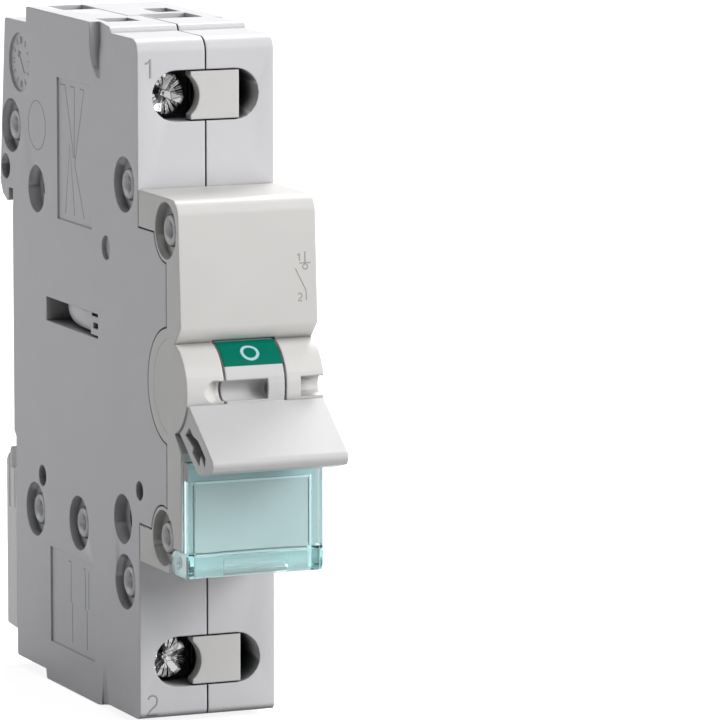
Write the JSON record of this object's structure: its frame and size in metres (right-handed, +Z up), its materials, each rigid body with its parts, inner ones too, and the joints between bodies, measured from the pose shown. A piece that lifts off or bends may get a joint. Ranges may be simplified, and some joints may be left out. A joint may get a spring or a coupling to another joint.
{
  "type": "din rail switch disconnector",
  "caption": "Narrow modular switch for DIN rail: moulded grey body, stepped nose with a lever and drum, hinged clear label window, clamp terminals above and below, sliding rail clip.",
  "frame": {"origin": "centre of the seat that bears on the front face of the rail, level with the rail's middle", "axes": "+X to the right seen from the front, +Y back to the rail and out of the seat, +Z up towards terminal 1"},
  "size_m": [0.0176, 0.0718, 0.084],
  "materials": {
    "moulded_body": "smooth moulded, faint sheen",
    "moulded_lever": "smooth moulded, faint sheen",
    "moulded_inner": "moulded thermoset",
    "moulded_clip": "smooth moulded",
    "clear_aqua": "clear tinted plastic",
    "card": "plain",
    "steel": "zinc plated",
    "plated_screw": "bright zinc plated",
    "rivet_metal": "dull plated",
    "spring_steel": "drawn wire",
    "copper": "stamped copper",
    "silver_tip": "silver alloy"
  },
  "bodies": {
    "housing": {"housing_left": "moulded_body", "housing_right": "moulded_body", "nose_cover": "moulded_body", "toggle_axle": "steel", "label_card": "card", "fixed_strip_upper": "copper", "fixed_strip_lower": "copper", "fixed_contact_upper": "silver_tip", "fixed_contact_lower": "silver_tip", "terminal_insert_upper": "moulded_body", "terminal_insert_lower": "moulded_body", "rivet_hook": "rivet_metal", "rivet_top": "rivet_metal", "rivet_nose_top": "rivet_metal", "rivet_foot_back": "rivet_metal", "rivet_foot_middle": "rivet_metal", "rivet_foot_front": "rivet_metal", "rivet_nose_bottom": "rivet_metal"},
    "lever": {"toggle": "moulded_lever", "drive_pin": "steel", "toggle_spring": "spring_steel"},
    "carrier": {"contact_carrier": "moulded_inner", "contact_bridge": "copper", "moving_contact_upper": "silver_tip", "moving_contact_lower": "silver_tip", "contact_spring": "spring_steel"},
    "window": {"label_window": "clear_aqua"},
    "clip": {"rail_clip": "moulded_clip"},
    "screw_upper": {"terminal_screw_upper": "plated_screw"},
    "screw_lower": {"terminal_screw_lower": "plated_screw"},
    "cage_upper": {"terminal_cage_upper": "steel"},
    "cage_lower": {"terminal_cage_lower": "steel"}
  },
  "joints": [
    {"name": "lever_turn", "type": "hinge", "parent": "housing", "child": "lever", "pos_m": [0, -0.054, 0], "axis": [-1, 0, 0], "range_deg": [0, 75]},
    {"name": "carrier_slide", "type": "slide", "parent": "housing", "child": "carrier", "axis": [0, -1, 0], "range_m": [0, 0.00341]},
    {"name": "window_hinge", "type": "hinge", "parent": "housing", "child": "window", "pos_m": [0, -0.0554, -0.0209], "axis": [1, 0, 0], "range_deg": [0, 95]},
    {"name": "clip_slide", "type": "slide", "parent": "housing", "child": "clip", "axis": [0, 0, -1], "range_m": [0, 0.004], "stiffness_N_per_m": 800, "springref_m": -0.002},
    {"name": "screw_upper_turn", "type": "hinge", "parent": "housing", "child": "screw_upper", "pos_m": [-0.00384, -0.0401, 0.0335], "axis": [0, 1, 0], "range_deg": [0, 1801]},
    {"name": "cage_upper_lift", "type": "slide", "parent": "housing", "child": "cage_upper", "axis": [0, -1, 0], "range_m": [0, 0.004]},
    {"name": "screw_lower_turn", "type": "hinge", "parent": "housing", "child": "screw_lower", "pos_m": [-0.00384, -0.0401, -0.0353], "axis": [0, 1, 0], "range_deg": [0, 1801]},
    {"name": "cage_lower_lift", "type": "slide", "parent": "housing", "child": "cage_lower", "axis": [0, -1, 0], "range_m": [0, 0.004]}
  ],
  "couplings": [
    {"joint": "carrier_slide", "follows": "lever_turn", "m_per_rad": 0.0026043},
    {"joint": "screw_upper_turn", "follows": "cage_upper_lift", "rad_per_m": 7854},
    {"joint": "screw_lower_turn", "follows": "cage_lower_lift", "rad_per_m": 7854}
  ]
}
